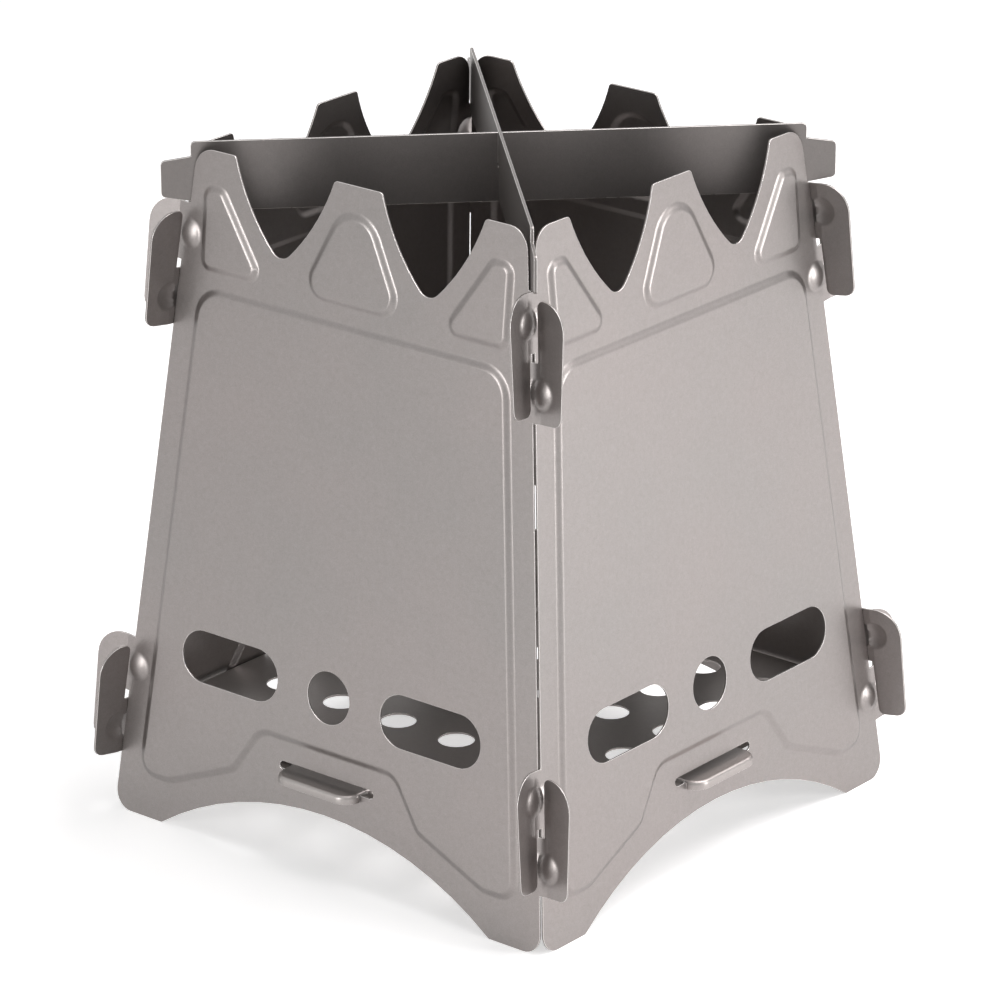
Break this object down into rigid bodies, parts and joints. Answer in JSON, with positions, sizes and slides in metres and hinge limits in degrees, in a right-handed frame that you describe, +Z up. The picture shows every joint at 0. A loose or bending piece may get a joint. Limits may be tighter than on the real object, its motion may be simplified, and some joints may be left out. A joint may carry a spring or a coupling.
{
  "type": "folding twig stove",
  "caption": "Tapered square camp stove of pressed sheet panels hooked at the corners, with a perforated grate in slots and crossed pot supports.",
  "frame": {"origin": "on the ground under the centre of the firebox", "axes": "+Z up; -Y is the front panel's side and +X the right panel's, the two panels nearest the viewer in the picture"},
  "size_m": [0.1586, 0.1586, 0.1803],
  "materials": {
    "panel_sheet": "bead-blasted satin",
    "plate_sheet": "satin",
    "bar_sheet": "satin"
  },
  "bodies": {
    "stove": {"front_panel": "panel_sheet", "right_panel": "panel_sheet", "back_panel": "panel_sheet", "left_panel": "panel_sheet", "base_plate": "plate_sheet"},
    "lower_bar": {"lower_crossbar": "bar_sheet"},
    "upper_bar": {"upper_crossbar": "bar_sheet"}
  },
  "joints": [
    {"name": "lower_bar_lift", "type": "slide", "parent": "stove", "child": "lower_bar", "axis": [0, 0, 1], "range_m": [0, 0.03]},
    {"name": "upper_bar_lift", "type": "slide", "parent": "lower_bar", "child": "upper_bar", "axis": [0, 0, 1], "range_m": [0, 0.03]}
  ]
}
